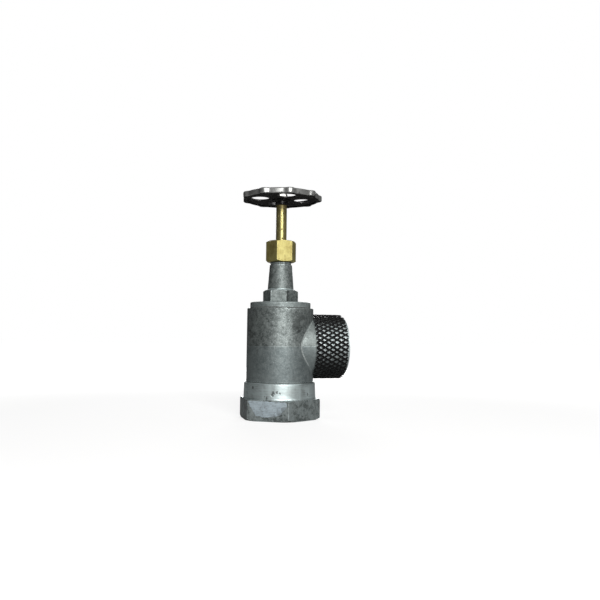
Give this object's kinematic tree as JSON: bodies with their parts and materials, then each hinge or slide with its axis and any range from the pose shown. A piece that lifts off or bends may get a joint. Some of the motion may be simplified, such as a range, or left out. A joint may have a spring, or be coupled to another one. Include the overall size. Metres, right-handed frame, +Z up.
{
  "type": "angle hose valve",
  "caption": "Angle hose valve: cast alloy body on a hexagonal threaded inlet, side outlet under a net sleeve, screwed bonnet, brass gland and rising stem, lobed black handwheel.",
  "frame": {"origin": "centre of the inlet mouth, on the face that the valve stands on", "axes": "+Z up along the stem, +X along the side outlet"},
  "size_m": [0.1006, 0.0802, 0.2172],
  "materials": {
    "cast_alloy": "raw casting, machined ends",
    "brass": "turned",
    "black_enamel": "gloss enamel",
    "net_plastic": "extruded",
    "zinc_steel": "zinc plated",
    "seal_rubber": "moulded",
    "gasket_fibre": "cut sheet",
    "packing": "pressed graphite"
  },
  "bodies": {
    "housing": {"valve_body": "cast_alloy", "bonnet": "cast_alloy", "bonnet_gasket": "gasket_fibre", "outlet_net": "net_plastic", "packing_base_ring": "brass", "packing_ring_1": "packing", "packing_ring_2": "packing", "packing_ring_3": "packing", "gland_follower": "brass", "packing_nut": "brass"},
    "disc": {"disc_holder": "brass", "retaining_pin_left": "zinc_steel", "retaining_pin_right": "zinc_steel", "disc_seal": "seal_rubber", "disc_washer": "brass", "disc_screw": "brass"},
    "spindle": {"stem": "brass", "handwheel": "black_enamel", "wheel_washer": "zinc_steel", "wheel_nut": "zinc_steel"}
  },
  "joints": [
    {"name": "disc_lift", "type": "slide", "parent": "housing", "child": "disc", "axis": [0, 0, 1], "range_m": [-0.016, 0]},
    {"name": "stem_turn", "type": "hinge", "parent": "disc", "child": "spindle", "pos_m": [0, 0, 0.15], "axis": [0, 0, 1], "range_deg": [-1440, 0]}
  ],
  "couplings": [
    {"joint": "disc_lift", "follows": "stem_turn", "m_per_rad": 0.00063662}
  ]
}
